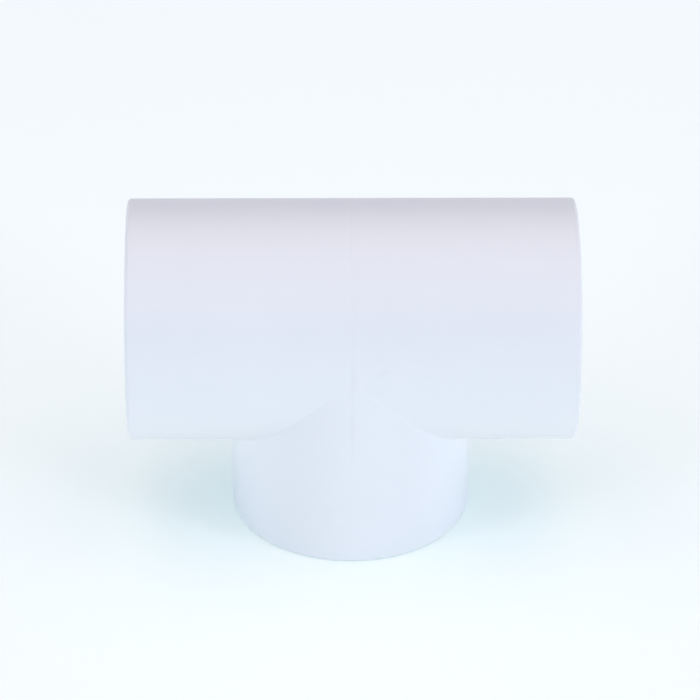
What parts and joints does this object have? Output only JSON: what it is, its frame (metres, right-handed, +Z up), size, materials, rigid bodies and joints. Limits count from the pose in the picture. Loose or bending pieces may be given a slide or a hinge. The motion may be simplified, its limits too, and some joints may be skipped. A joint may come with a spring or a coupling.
{
  "type": "tee fitting",
  "caption": "Equal plumbing tee in white rigid plastic: a straight run and a square branch of the same bore, each end a plain socket for solvent-cemented pipe.",
  "frame": {"origin": "centre of the branch rim, the plane that the tee stands on", "axes": "+X along the run, +Z up from the branch rim towards the run, so the branch opens along -Z"},
  "size_m": [0.1294, 0.07, 0.0968],
  "materials": {
    "white_pvc": "satin, as moulded"
  },
  "bodies": {
    "root": {"centre_body": "white_pvc", "run_hub_left": "white_pvc", "run_hub_right": "white_pvc", "branch_hub": "white_pvc"}
  },
  "joints": []
}
